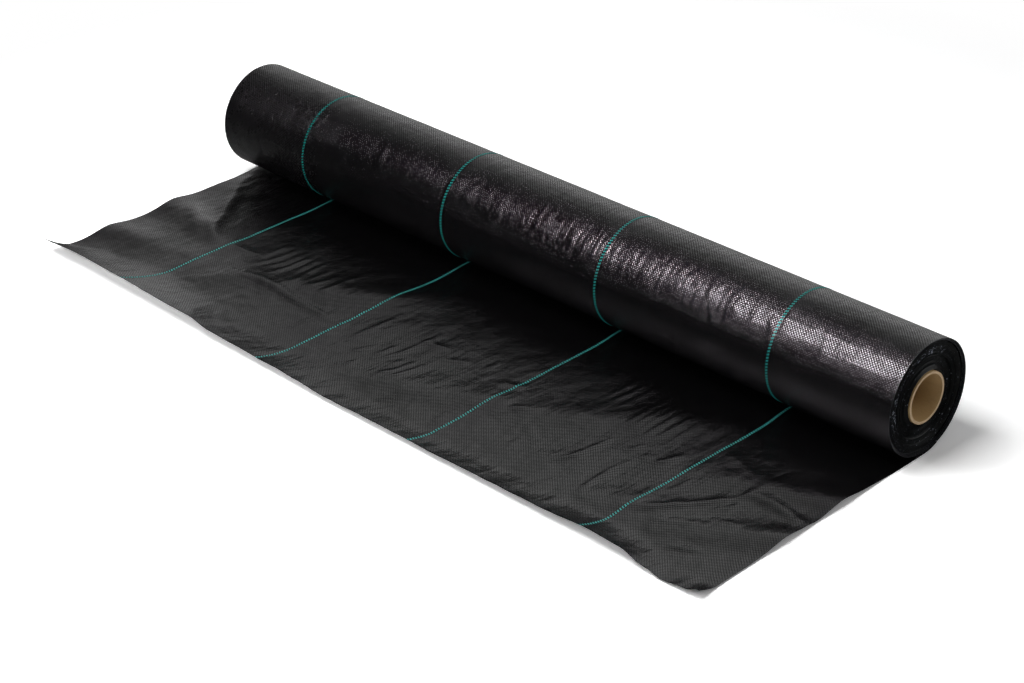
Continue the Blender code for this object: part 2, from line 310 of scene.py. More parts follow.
class Wiring:
    """Adds nodes to one node tree and joins them."""

    def __init__(self, tree: bpy.types.NodeTree) -> None:
        """Keep the tree."""
        self.tree = tree

    def node(
        self, kind: str, settings: dict[str, Any] | None = None, **sockets: Any
    ) -> bpy.types.Node:
        """Add a node, set it up and fill its sockets.

        Args:
            kind: the node's type.
            settings: its properties, set before its sockets are filled.
            sockets: what each socket holds, as for fill.

        Returns:
            The node.
        """
        node = self.tree.nodes.new(kind)
        for key, value in (settings or {}).items():
            setattr(node, key, value)
        self.fill(node, **sockets)
        return node

    def fill(self, node: bpy.types.Node, **sockets: Any) -> None:
        """Link a node's sockets, or set their own values.

        Args:
            node: the node.
            sockets: what each socket holds, by its name with _ for a space, or by i and
                its number: a number, a colour, a Signal or another node's socket.
        """
        for key, value in sockets.items():
            numbered = key[0] == "i" and key[1:].isdigit()
            socket = node.inputs[int(key[1:]) if numbered else key.replace("_", " ")]
            if isinstance(value, Signal):
                value = value.socket
            if isinstance(value, bpy.types.NodeSocket):
                self.tree.links.new(value, socket)
            else:
                socket.default_value = value

    def signal(
        self, kind: str, output: int | str = 0, settings: dict[str, Any] | None = None,
        **sockets: Any,
    ) -> Signal:
        """Add a node and return one of its outputs as a Signal."""
        return Signal(self, self.node(kind, settings, **sockets).outputs[output])

    def math(self, operation: str, *values: "Signal | float") -> Signal:
        """Add a Math node."""
        sockets = {f"i{number}": value for number, value in enumerate(values)}
        return self.signal("ShaderNodeMath", 0, {"operation": operation}, **sockets)

    def eased(
        self, value: Signal, low: float, high: float, start: float = 0.0, end: float = 1.0
    ) -> Signal:
        """Ease from start to end as a value goes from low to high."""
        return self.signal(
            "ShaderNodeMapRange", 0, {"interpolation_type": "SMOOTHSTEP"},
            Value=value, From_Min=low, From_Max=high, To_Min=start, To_Max=end,
        )

    def blend(self, share: "Signal | float", low: Any, high: Any) -> bpy.types.NodeSocket:
        """Mix two colours by a share."""
        low, high = ((*tone, 1.0) if isinstance(tone, tuple) else tone for tone in (low, high))
        mixer = self.node(
            "ShaderNodeMix", {"data_type": "RGBA", "clamp_factor": True},
            i0=share, i6=low, i7=high,
        )
        return mixer.outputs[2]

    def noise(
        self, place: Any, stretch: Triple, detail: float = 2.0, roughness: float = 0.5,
        centre: Triple = (0, 0, 0),
    ) -> Signal:
        """Add a noise of a stretched place. Its value is about 0.5 on average."""
        return self.signal(
            "ShaderNodeTexNoise", "Fac", Vector=self.stretched(place, stretch, centre),
            Scale=1.0, Detail=detail, Roughness=roughness,
        )

    def stretched(self, place: Any, stretch: Triple, centre: Triple = (0, 0, 0)) -> Any:
        """Scale a pattern's place, after moving its centre to the origin."""
        for operation, by in (("SUBTRACT", centre), ("MULTIPLY", stretch)):
            place = self.node("ShaderNodeVectorMath", {"operation": operation}, i0=place, i1=by)
            place = place.outputs[0]
        return place

    def length(self, vector: Any) -> Signal:
        """Length of a vector."""
        return self.signal("ShaderNodeVectorMath", "Value", {"operation": "LENGTH"}, i0=vector)

    def split(self, vector: Any) -> tuple[Signal, ...]:
        """Three numbers of a vector."""
        parts = self.node("ShaderNodeSeparateXYZ", Vector=vector).outputs
        return tuple(Signal(self, part) for part in parts)

    def joined(self, x: Signal, y: Signal) -> bpy.types.NodeSocket:
        """Vector of two numbers."""
        return self.node("ShaderNodeCombineXYZ", X=x, Y=y).outputs[0]

    def relief(self, height: Signal, distance: float, onto: Any = None) -> bpy.types.NodeSocket:
        """Add a Bump node of a height in shares of a distance."""
        sockets = {"Height": height, "Distance": distance}
        if onto is not None:
            sockets["Normal"] = onto
        return self.node("ShaderNodeBump", **sockets).outputs[0]

    def show_mix(self, share: Signal, low: bpy.types.Node, high: bpy.types.Node) -> None:
        """Show a mix of two shaders by a share."""
        mix = self.node("ShaderNodeMixShader", i0=share, i1=low.outputs[0], i2=high.outputs[0])
        self.fill(self.tree.nodes["Material Output"], Surface=mix.outputs[0])

    def object_place(self) -> bpy.types.NodeSocket:
        """Place on the piece, in Object coordinates."""
        return self.node("ShaderNodeTexCoord").outputs["Object"]

    def web_place(self) -> bpy.types.NodeSocket:
        """Place in the weave, counted in tapes across and along."""
        return self.node("ShaderNodeUVMap", {"uv_map": "weave"}).outputs[0]

    def ray(self, kind: str) -> Signal:
        """1 for rays of a kind, else 0."""
        return self.signal("ShaderNodeLightPath", f"Is {kind} Ray")


Pattern = tuple[bpy.types.NodeSocket, Signal, Signal]


def new_material(name: str, specular: float) -> tuple[bpy.types.Material, Wiring, bpy.types.Node]:
    """Make a material with an empty Principled shader.

    Args:
        name: the material's name.
        specular: the shader's specular level.

    Returns:
        The material, its wiring and its shader node.
    """
    material = bpy.data.materials.new(name)
    material.use_nodes = True
    shader = material.node_tree.nodes["Principled BSDF"]
    shader.inputs["Specular IOR Level"].default_value = specular
    return material, Wiring(material.node_tree), shader


# ---------------------------------------------------------------- finishes


@dataclass(frozen=True)
class WovenFinish:
    """Black plain weave of glossy split film tapes, patterned along its own web.

    Places and reaches are in metres across the web. Stretches scale the weave's cells
    for a noise.
    """

    name: str
    warp_colour: Triple = (0.0017, 0.0016, 0.0018)
    weft_colour: Triple = (0.0010, 0.0010, 0.0011)
    edge_colour: Triple = (0.032, 0.033, 0.037)
    fray_colour: Triple = (0.16, 0.165, 0.18)
    warp_specular: float = 1.0
    weft_specular: float = 0.18
    warp_roughness: float = 0.13
    warp_roughness_spread: float = 0.10
    weft_roughness: float = 0.25
    edge_drop: float = 0.4
    end_drop: float = 0.6
    weft_sink: float = 0.25
    lean_across: float = 0.07
    lean_along: float = 0.08
    column_lean: float = 1.2
    column_stretch: float = 0.012
    tape_relief: float = 0.00013
    ring_relief: float = 0.0012
    ring_stretch: Triple = (0.22, 0.012, 0.0)
    row_share: float = 0.35
    row_stretch: Triple = (0.012, 0.35, 0.0)
    row_centre: Triple = (0.0, 40.0, 0.0)
    slack_place: float = 0.13
    slack_reach: float = 0.20
    slack_core: float = 0.4
    taut_share: float = 0.14
    far_band: Pair = (-0.44, -0.26)
    far_dulling: float = 0.0
    pucker_relief: float = 0.0020
    pucker_stretch: Triple = (0.10, 0.055, 0.0)
    cut_band: Pair = (0.0003, 0.0001)
    fray_band: Pair = (0.62, 0.70)
    fray_stretch: Triple = (0.0, 2.6, 0.0)

    def weave(self, wires: Wiring, across: Signal, along: Signal) -> tuple[Signal, Signal, Signal]:
        """Height of the weave: in every other cell the warp tape is on top, else the weft.

        A tape is flat over its width, with its edges turned down as the sixth power of
        the distance from its middle, and its ends dive as the fourth power of the distance
        along. Each float leans by chance, along its length and across it.

        Returns:
            Height, which cells have the warp on top, and a random number for each cell.
        """
        column, row = wires.math("FLOOR", across), wires.math("FLOOR", along)
        warp_side = (across - column - 0.5) * 2.0
        weft_side = (along - row - 0.5) * 2.0
        chance = wires.node(
            "ShaderNodeTexWhiteNoise", {"noise_dimensions": "2D"}, Vector=wires.joined(column, row)
        )
        float_across, float_along, chance = wires.split(chance.outputs["Color"])
        warp_on_top = wires.math("FRACT", (column + row) * 0.5) * 2.0
        edge, end = self.edge_drop, self.end_drop
        warp = (1.0 - edge * warp_side**6.0) * (1.0 - end * weft_side**4.0)
        weft = (1.0 - end * weft_side**6.0) * (1.0 - edge * warp_side**4.0) - self.weft_sink
        height = warp * warp_on_top + weft * (1.0 - warp_on_top)
        streak = wires.joined(column, along * self.column_stretch)
        column_lean = wires.noise(streak, (1.0, 1.0, 1.0), detail=1.0) - 0.5
        column_lean = column_lean * self.column_lean
        height = height + ((float_across - 0.5) * self.lean_across + column_lean) * warp_side
        height = height + (float_along - 0.5) * weft_side * self.lean_along
        return height, warp_on_top, chance

    def normal(self, wires: Wiring, across: Signal, weave: Signal, far: Signal) -> Any:
        """Normal of the web: puckers, then rings and rows of slack, then the weave.

        The rings are full at the slack place and fade from there to the taut share. The
        weave gets flatter by twice the far end's dulling.
        """
        place = wires.web_place()
        rings = wires.noise(place, self.ring_stretch, detail=3.0, roughness=0.6) - 0.5
        from_slack = wires.math("ABSOLUTE", across - MIDDLE_CELL - self.slack_place / TAPE_PITCH)
        from_slack = from_slack * (TAPE_PITCH / self.slack_reach)
        rings = rings * wires.eased(from_slack, self.slack_core, 1.0, 1.0, self.taut_share)
        rows = wires.noise(
            place, self.row_stretch, detail=3.0, roughness=0.6, centre=self.row_centre
        )
        normal = wires.relief(wires.noise(place, self.pucker_stretch), self.pucker_relief)
        normal = wires.relief(rings + rows * self.row_share, self.ring_relief, normal)
        return wires.relief(weave * (1.0 - far * 2.0), self.tape_relief, normal)

    def cut_edge(self, wires: Wiring, across: Signal) -> tuple[Signal, bpy.types.NodeSocket]:
        """Share and colour of the web's cut edge, paler where it is frayed."""
        from_middle = wires.math("ABSOLUTE", across - MIDDLE_CELL) * TAPE_PITCH
        start, full = (ROLL_WIDTH / 2 - inset for inset in self.cut_band)
        fray = wires.eased(wires.noise(wires.web_place(), self.fray_stretch), *self.fray_band)
        colour = wires.blend(fray, self.edge_colour, self.fray_colour)
        return wires.eased(from_middle, start, full), colour

    def make(self) -> bpy.types.Material:
        """Build the material: a glossy shader where the warp is on top, else a dull one."""
        material, wires, glossy = new_material(self.name, self.warp_specular)
        across, along, _ = wires.split(wires.web_place())
        weave, warp_on_top, chance = self.weave(wires, across, along)
        middle = (across - MIDDLE_CELL) * TAPE_PITCH
        far = wires.eased(middle, *self.far_band, self.far_dulling, 0.0)
        normal = self.normal(wires, across, weave, far)
        edge, cut = self.cut_edge(wires, across)
        wires.fill(
            glossy, Base_Color=wires.blend(edge, self.warp_colour, cut), Normal=normal,
            Roughness=chance * self.warp_roughness_spread + self.warp_roughness + far,
        )
        dull = wires.node(
            "ShaderNodeBsdfPrincipled", Base_Color=wires.blend(edge, self.weft_colour, cut),
            Roughness=self.weft_roughness, Specular_IOR_Level=self.weft_specular, Normal=normal,
        )
        wires.show_mix(warp_on_top, dull, glossy)
        return material


@dataclass(frozen=True)
class PatternFinish(ABC):
    """A finish whose colour, roughness and relief come from one pattern."""

    name: str
    specular: float = 0.4
    roughness: float = 0.25
    roughness_spread: float = 0.3
    relief: float = 0.0001

    @abstractmethod
    def pattern(self, wires: Wiring) -> Pattern:
        """Colour, the grain that roughens, and the height in shares of the relief."""

    def make(self) -> bpy.types.Material:
        """Build the material."""
        material, wires, shader = new_material(self.name, self.specular)
        colour, grain, height = self.pattern(wires)
        wires.fill(
            shader, Base_Color=colour, Normal=wires.relief(height, self.relief),
            Roughness=grain * self.roughness_spread + self.roughness,
        )
        return material


@dataclass(frozen=True)
class EdgeFinish(PatternFinish):
    """Cut edges of the wound turns: black, with fine grain and a few bright tape ends.

    The bright tape ends are painted glints. More show in a ring of loosened turns, on its upper
    front, where light catches them.
    """

    relief: float = 0.0002
    colour: Triple = (0.0028, 0.0036, 0.0040)
    # colour of the painted glints on the cut tape ends
    fleck: Triple = (0.42, 0.45, 0.52)
    grain: float = 300.0
    fleck_grain: float = 520.0
    fleck_band: Pair = (0.72, 0.76)
    loosened_from: Pair = (0.0445, 0.0470)
    loosened_to: Pair = (0.0535, 0.0555)
    loosened_side: Pair = (-0.01, 0.05)
    loosened_share: float = 0.11

    def pattern(self, wires: Wiring) -> Pattern:
        """Painted glints on tape ends where a noise is high, sooner on the loosened ring's upper
        front.
        """
        place = wires.object_place()
        fine = wires.noise(place, (self.grain,) * 3, detail=3.0, roughness=0.6)
        centred = wires.stretched(place, (0.0, 1.0, 1.0), (0.0, 0.0, AXIS_HEIGHT))
        radius = wires.length(centred)
        _, y, z = wires.split(centred)
        # painted glints: more on the upper front of the loosened ring, where light catches it
        lit_upper_front = wires.eased(z - y, *self.loosened_side)
        ring = wires.eased(radius, *self.loosened_from)
        ring = ring * wires.eased(radius, *self.loosened_to, 1.0, 0.0)
        loosened = ring * lit_upper_front
        ends = wires.noise(place, (self.fleck_grain,) * 3, detail=1.0)
        fleck = wires.eased(ends + loosened * self.loosened_share, *self.fleck_band)
        return wires.blend(fleck, self.colour, self.fleck), fine, fine


@dataclass(frozen=True)
class BoardFinish(PatternFinish):
    """Brown core board, spiral wound in plies, with fibres and a paler sawn rim."""

    specular: float = 0.3
    roughness: float = 0.65
    roughness_spread: float = 0.2
    relief: float = 0.00015
    colour: Triple = (0.51, 0.35, 0.17)
    pale: Triple = (0.43, 0.315, 0.20)
    dark: Triple = (0.33, 0.21, 0.09)
    ply_pitch: float = 0.095
    seam_band: Pair = (0.012, 0.992)
    seam_share: float = 0.6
    fibre_stretch: Triple = (260.0, 900.0, 900.0)
    cloud_grain: float = 60.0
    cloud_share: float = 0.5
    layer_rate: float = 14000.0
    layer_share: float = 0.35
    rim_band: Pair = (0.4979, 0.4984)

    def pattern(self, wires: Wiring) -> Pattern:
        """Fibres on board, with a seam where x / pitch + turns round the axis is whole."""
        place = wires.object_place()
        x, y, z = wires.split(wires.stretched(place, (1.0, 1.0, 1.0), (0.0, 0.0, AXIS_HEIGHT)))
        turns = wires.math("ARCTAN2", y, z) / math.tau
        ply = wires.math("FRACT", x / self.ply_pitch + turns)
        seam = wires.eased(ply, 0.0, self.seam_band[0], 1.0, 0.0)
        seam = seam + wires.eased(ply, self.seam_band[1], 1.0)
        fibres = wires.noise(place, self.fibre_stretch, detail=3.0, roughness=0.65)
        cloud = wires.noise(place, (self.cloud_grain,) * 3)
        radius = wires.math("SQRT", y * y + z * z)
        layers = wires.math("SINE", radius * self.layer_rate) * 0.5 + 0.5
        sawn = wires.eased(wires.math("ABSOLUTE", x), *self.rim_band)
        tone = wires.blend(fibres, self.dark, self.colour)
        tone = wires.blend(cloud * self.cloud_share, tone, self.colour)
        tone = wires.blend(seam * self.seam_share, tone, self.dark)
        rim = wires.blend(layers * self.layer_share, self.pale, self.colour)
        return wires.blend(sawn, tone, rim), fibres, fibres - seam


@dataclass(frozen=True)
class MarkerFinish(PatternFinish):
    """Teal marker tape, with its film's fine lengthwise streaks."""

    specular: float = 0.0
    roughness: float = 0.5
    roughness_spread: float = 0.2
    relief: float = 0.00004
    # the roll's copy of the tape; the floor's copy of the same tape is painted lighter
    colour: Triple = (0.005, 0.160, 0.150)
    pale: Triple = (0.018, 0.240, 0.222)
    streak_stretch: Triple = (9.0, 0.8, 0.0)

    def pattern(self, wires: Wiring) -> Pattern:
        """Streaks along the web."""
        streak = wires.noise(wires.web_place(), self.streak_stretch)
        return wires.blend(streak, self.colour, self.pale), streak, streak


@dataclass(frozen=True)
class TapeFinish(PatternFinish):
    """Tan adhesive tape with faint creases."""

    colour: Triple = (0.58, 0.47, 0.31)
    worn_share: float = 0.8
    crease_stretch: Triple = (90.0, 400.0, 400.0)

    def pattern(self, wires: Wiring) -> Pattern:
        """Creases along the roll, darker where their relief is low."""
        crease = wires.noise(wires.object_place(), self.crease_stretch, detail=3.0)
        # darker where the crease relief is low
        hollow_tone = tuple(value * self.worn_share for value in self.colour)
        return wires.blend(crease, hollow_tone, self.colour), crease, crease


# ---------------------------------------------------------------- the laid web


class Fold(NamedTuple):
    """One long soft ripple: its heading in degrees from +X, the rest in shares of the sheet."""

    across_share: float
    along_share: float
    heading: float
    run_share: float
    spread_share: float
    rise_share: float


class Crease(NamedTuple):
    """One small wrinkle: its middle, its heading in degrees from +X, and its sizes.

    Lengths are in millimetres. bow moves its lower end sideways, so that it hooks.
    """

    x: float
    y: float
    heading: float
    run: float
    width: float
    rise: float
    bow: float = 0.0


FOLDS = tuple(Fold(*row) for row in (
    (-0.50, 0.46, -12, 0.16, 0.070, 0.95),
    (-0.50, 0.74, 10, 0.13, 0.070, 0.85),
    (-0.24, 0.60, 28, 0.11, 0.075, 0.55),
    (-0.10, 0.36, 42, 0.10, 0.080, 0.50),
    (0.06, 0.72, 24, 0.12, 0.075, 0.60),
    (0.24, 0.46, 38, 0.11, 0.080, 0.55),
    (0.50, 0.38, 20, 0.12, 0.070, 0.90),
    (0.50, 0.62, 32, 0.12, 0.065, 0.85),
    (0.33, 0.80, 30, 0.09, 0.065, 0.50),
))

CREASES = tuple(Crease(*row) for row in (
    # far side, soft diagonals off the end of the roll
    (-458, -95, -52, 110, 9, 2.0),
    (-425, -140, -50, 90, 8, 1.8),
    (-445, -165, -35, 80, 9, 1.4),
    (-400, -175, -30, 60, 7, 1.2),
    # patch of upright wrinkles between the first two marker lines
    (-333, -178, 5, 32, 4, 1.3),
    (-290, -165, 84, 60, 4, 1.2, 4),
    (-276, -160, 86, 48, 4, 1.0, 3),
    (-264, -163, 88, 66, 4, 1.4, 2),
    (-252, -157, 92, 52, 4, 1.1, -3),
    (-238, -165, 94, 58, 4, 1.3, -4),
    (-222, -158, 92, 44, 4, 0.9),
    (-205, -164, 86, 40, 4, 1.0, 3),
    (-188, -152, 88, 34, 4, 0.8),
    (-215, -217, -2, 160, 5, 1.6, -6),
    (-250, -212, 3, 60, 4, 0.9),
    # right of the second marker line
    (-88, -200, 88, 56, 4, 1.2, 2),
    (-63, -240, 70, 26, 4, 1.0),
    (-42, -228, 84, 30, 4, 0.9),
    (-25, -205, 86, 78, 4, 1.5, 7),
    (-3, -245, 84, 44, 4, 1.5, 6),
    (8, -247, 82, 42, 4, 1.3, 6),
    (-12, -182, 10, 34, 5, 1.4),
    (30, -190, 30, 30, 5, 1.2),
    (108, -186, 24, 34, 5, 1.3),
    # right of the third marker line
    (197, -112, 90, 54, 4, 1.3, 2),
    (209, -108, 88, 60, 4, 1.5, 2),
    (221, -112, 90, 56, 4, 1.3),
    (247, -128, 92, 66, 4, 1.5, -2),
    (257, -130, 90, 74, 4, 1.6),
    (266, -128, 89, 70, 4, 1.4),
    (277, -131, 90, 70, 4, 1.6, 2),
    (289, -134, 88, 62, 4, 1.3, 3),
    (303, -130, 86, 44, 4, 1.0),
    (284, -189, 80, 26, 4, 1.3, 6),
    (323, -184, 74, 30, 4, 1.4, 6),
    (148, -215, 40, 22, 4, 1.2),
    (251, -228, 84, 68, 4, 1.7, 9),
    (292, -252, 88, 70, 4, 1.6, -8),
    (190, -240, -30, 40, 4, 0.7),
    (226, -258, 30, 22, 3.5, 0.7),
    # near side
    (362, -212, 86, 30, 4, 1.2, 3),
    (392, -228, 54, 100, 5, 2.0, 5),
    (425, -205, 60, 44, 4, 1.1),
    (442, -230, 20, 26, 4, 1.2),
    (436, -288, 24, 34, 4, 1.5),
    (462, -176, -8, 80, 8, 2.8, -8),
    (400, -262, 30, 60, 5, 1.1),
    (380, -140, -20, 40, 5, 1.0),
))


@dataclass
class LaidWeb:
    """The unrolled sheet and its way under the roll, as one web.

    A place on the web is x across it and s along it, in metres, with s = 0 under the
    roll's axis and s below 0 towards the free edge.
    """

    length: float = 0.3405
    nip_reach: float = 0.0185
    contact_reach: float = 0.007
    side_draw_in: float = 0.0105
    near_draw_share: float = 0.08
    flat_run: float = 0.024
    edge_lift: float = 0.020
    curl_power: float = 1.5
    fold_rise: float = 0.006
    marker_drift: float = 0.0055
    drift_reach: float = 0.065
    wander: float = 0.0011
    wander_cell: float = 0.045
    slack: tuple[tuple[float, Pair, int], ...] = (
        (0.0009, (0.060, 0.085), 3),
        (0.00045, (0.017, 0.034), 4),
    )
    crease_start: float = 0.05
    crease_reach: float = 1.8
    closing_gap: float = 0.00065
    normal_step: float = 0.0004
    columns: int = 500
    rows: int = 88
    wrap_rows: int = 8
    stray_creases: int = 46

    def edge_curl(self, x: np.ndarray) -> ArrayPair:
        """Lift of the free edge, and how far back the curl reaches, across the width."""
        lift: Table = (
            (-0.500, 0.78), (-0.440, 0.94), (-0.350, 0.94), (-0.235, 0.76), (-0.200, 0.55),
            (-0.110, 0.44), (-0.013, 0.27), (0.137, 0.30), (0.289, 0.44), (0.352, 0.60),
            (0.395, 0.57), (0.435, 0.24), (0.455, 0.04), (0.483, 0.18), (0.500, 0.44),
        )
        reach: Table = (
            (-0.50, 0.085), (-0.45, 0.150), (-0.35, 0.200), (-0.25, 0.180),
            (-0.11, 0.130), (0.12, 0.095), (0.35, 0.120), (0.50, 0.080),
        )
        share = x / ROLL_WIDTH
        return eased(lift, share) * self.edge_lift, eased(reach, share) * self.length

    def stray(self) -> tuple[Crease, ...]:
        """Small wrinkles at random, mostly lengthwise, over the middle of the sheet."""
        draw, count = np.random.default_rng(seed=11), self.stray_creases
        rows = zip(
            draw.uniform(-440, 470, count), draw.uniform(-318, -150, count),
            draw.normal(84, 22, count), draw.uniform(14, 46, count),
            draw.uniform(3.5, 6.0, count), draw.uniform(0.25, 0.8, count),
            draw.uniform(-5, 5, count),
        )
        return tuple(Crease(*(float(value) for value in row)) for row in rows)

    def crease_height(self, x: np.ndarray, y: np.ndarray) -> np.ndarray:
        """Height that the small wrinkles add.

        Each is rise × exp(-(side / width)²) × exp(-(run / half)⁴), with run and side
        measured along and across its heading, and side moved by bow × (run / half)² on
        its lower half. Beyond its reach, in halves, it is left out.
        """
        height = np.zeros_like(x)
        for crease in (*CREASES, *self.stray()):
            run, side = turned(x - crease.x / 1000, y - crease.y / 1000, crease.heading)
            run = run / (crease.run / 2000)
            near = np.abs(run) < self.crease_reach
            run, side = run[near], side[near]
            side = side - crease.bow / 1000 * np.clip(-run, 0.0, None) ** 2
            side = side / (crease.width / 1000)
            height[near] += crease.rise / 1000 * np.exp(-side * side) * np.exp(-(run**4))
        return height

    def height(self, x: np.ndarray, y: np.ndarray, to_edge: np.ndarray) -> np.ndarray:
        """Height of the web's underside.

        Folds are rise × exp(-run² - side²), the free edge's curl is
        lift × (1 - distance to edge / reach)^curl power, and slack is drifting random fields.
        """
        height = np.zeros_like(x)
        for fold in FOLDS:
            dx = x - fold.across_share * ROLL_WIDTH
            dy = y + fold.along_share * self.length
            run, side = turned(dx, dy, fold.heading)
            far = (run / (fold.run_share * ROLL_WIDTH)) ** 2
            wide = (side / (fold.spread_share * self.length)) ** 2
            height += fold.rise_share * self.fold_rise * np.exp(-far - wide)
        lift, reach = self.edge_curl(x)
        height += lift * np.clip(1.0 - to_edge / reach, 0.0, 1.0) ** self.curl_power
        for rise, cell, seed in self.slack:
            height += rise * (1 + drifting(x, y, cell, seed))
        height *= smooth_step((-y - self.nip_reach - self.flat_run) / (2 * self.flat_run))
        small = smooth_step((-y - self.nip_reach) / self.crease_start)
        return height + small * self.crease_height(x, y)

    def underside(self, x: np.ndarray, s: np.ndarray) -> np.ndarray:
        """Points on the web's underside.

        On the floor y runs from s with what the curl takes up drawn back, and past the
        contact the web climbs the roll on an arc that closes in on it.

        Args:
            x: places across the web.
            s: places along it.

        Returns:
            Points, with x, y and z on the last axis.
        """
        x, s = np.broadcast_arrays(x, s)
        lift, curl_reach = self.edge_curl(x)
        taken_up = (self.curl_power * lift) ** 2 / (2 * (2 * self.curl_power - 1) * curl_reach)
        paid_out = np.clip((-s - self.nip_reach) / (self.length - self.nip_reach), 0.0, 1.0)
        y = s + taken_up * paid_out
        z = self.height(x, y, self.length - taken_up + y)
        drawn = self.side_draw(-y / self.length)
        first, last, half = MARKER_PLACES[0], MARKER_PLACES[-1], ROLL_WIDTH / 2
        far_side = smooth_step((first - x) / (first + half))
        near_side = smooth_step((x - last) / (half - last))
        drift = smooth_step((-y - self.nip_reach) / self.drift_reach)
        moved = drawn * (far_side - self.near_draw_share * near_side)
        wander = self.wander * drifting(0.0, y, (1.0, self.wander_cell), seed=8)
        wander = self.marker_drift * drift + wander * drift
        moved = moved + wander * (1.0 - far_side - near_side)
        lift_off = math.asin(self.contact_reach / AXIS_HEIGHT)
        angle = lift_off + np.clip(s - self.contact_reach, 0.0, None) / AXIS_HEIGHT
        closing = smooth_step((angle - lift_off) / (WRAP_ANGLE - lift_off))
        arc_y, arc_z = around(AXIS_HEIGHT - self.closing_gap * closing, angle)
        climbing = s > self.contact_reach
        y, z = np.where(climbing, arc_y, y), np.where(climbing, arc_z, z)
        return stacked(x + moved, y, z)

    def side_draw(self, share: np.ndarray) -> np.ndarray:
        """How far the far side edge draws in, along the web."""
        table: Table = ((0.00, 0.30), (0.22, 0.95), (0.86, 1.00), (1.00, 0.05))
        return eased(table, np.clip(share, 0.0, 1.0)) * self.side_draw_in

    def normal(self, x: np.ndarray, s: np.ndarray) -> np.ndarray:
        """Unit normal of the web's upper face, by small steps across and along."""
        step = self.normal_step
        over = self.underside(x + step, s) - self.underside(x - step, s)
        along = self.underside(x, s + step) - self.underside(x, s - step)
        normal = np.cross(over, along)
        return normal / np.linalg.norm(normal, axis=-1, keepdims=True)

    def places_along(self, rows: int) -> np.ndarray:
        """Places along the web from the free edge to the end of its climb."""
        lift_off = math.asin(self.contact_reach / AXIS_HEIGHT)
        end = self.contact_reach + (WRAP_ANGLE - lift_off) * AXIS_HEIGHT
        floor = np.linspace(-self.length, -self.nip_reach, rows)
        return np.concatenate([floor, np.linspace(-self.nip_reach, end, self.wrap_rows + 1)[1:]])

    def build(self) -> bpy.types.Object:
        """Make the web as a closed thin solid on a grid of places across and along it."""
        x = np.linspace(-ROLL_WIDTH / 2, ROLL_WIDTH / 2, self.columns)[None, :]
        s = self.places_along(self.rows)[:, None]
        under = self.underside(x, s)
        over = under + FABRIC_THICKNESS * self.normal(x, s)
        return add_shell("ground_web", over, under, stacked(x, s) / TAPE_PITCH + MIDDLE_CELL)


# ---------------------------------------------------------------- marker lines


@dataclass
class MarkerLine:
    """Two teal warp tapes side by side, over and under every other weft tape."""

    tape_width: float = 0.0014
    flat_share: float = 0.55
    crown: float = 0.00008
    spacing: float = 0.0015
    rise: float = 0.00045
    swing: float = 0.9
    steepness: float = 2.5
    dive: float = 0.36
    clearance: float = 0.0001
    stagger: float = 0.40
    steps_per_cell: int = 5

    def tape_grid(self, count: int) -> tuple[np.ndarray, np.ndarray, np.ndarray]:
        """Cross-section and lengthwise course of one tape.

        Args:
            count: how many weave cells it runs over.

        Returns:
            Places along in cells, places across and heights of the section's points: a
            flat crowned top and a flat bottom.
        """
        cells = np.linspace(0.0, count, count * self.steps_per_cell + 1)
        half, flat = self.tape_width / 2, self.flat_share
        across = np.array([-1.0, -flat, flat, 1.0, flat, -flat, -1.0]) * half
        height = np.array([0.0, 1.0, 1.0, 0.0, -0.5, -0.5, 0.0]) * self.crown
        return cells, across, height

    def course(self, cells: np.ndarray, second: bool) -> np.ndarray:
        """Height of a tape's middle over the fabric, every other cell under it.

        It is rise × (swing × tanh(steepness × sin(π cells)) - dive), and always clear of
        the fabric's underside.
        """
        phase = cells + (self.stagger if second else 0.0)
        wave = self.swing * np.tanh(self.steepness * np.sin(np.pi * phase))
        return np.maximum(self.rise * (wave - self.dive), self.clearance - FABRIC_THICKNESS)

    def build(self, name: str, middle: float, count: int, surface: Surface) -> bpy.types.Object:
        """Carry both tapes along a surface.

        Args:
            name: the piece's name.
            middle: the line's place across the fabric.
            count: how many weave cells it runs over.
            surface: gives points and normals for places across and cells along.

        Returns:
            The line as one mesh of two closed tapes.
        """
        cells, across, height = self.tape_grid(count)
        points, quads, weave, first = [], [], [], 0
        for second in (False, True):
            offset = self.spacing / 2 * (1 if second else -1)
            x = (middle + offset + across)[None, :]
            base, normal = surface(x, cells[:, None])
            lift = self.course(cells, second)[:, None] + height[None, :]
            grid = (base + normal * lift[..., None])[:, :-1]
            ids = first + numbered(*grid.shape[:2])
            closed = np.concatenate([ids, ids[:, :1]], axis=1)
            ends = np.array([[0, 1, 4, 5], [1, 2, 3, 4]])
            quads += [grid_quads(closed)[:, ::-1], ids[0][ends], ids[-1][ends][:, ::-1]]
            points.append(grid.reshape(-1, 3))
            weave.append(stacked(x[:, :-1] / TAPE_PITCH, cells[:, None]).reshape(-1, 2))
            first += ids.size
        return add_mesh(name, *(np.concatenate(parts) for parts in (points, quads, weave)))


# ---------------------------------------------------------------- the roll


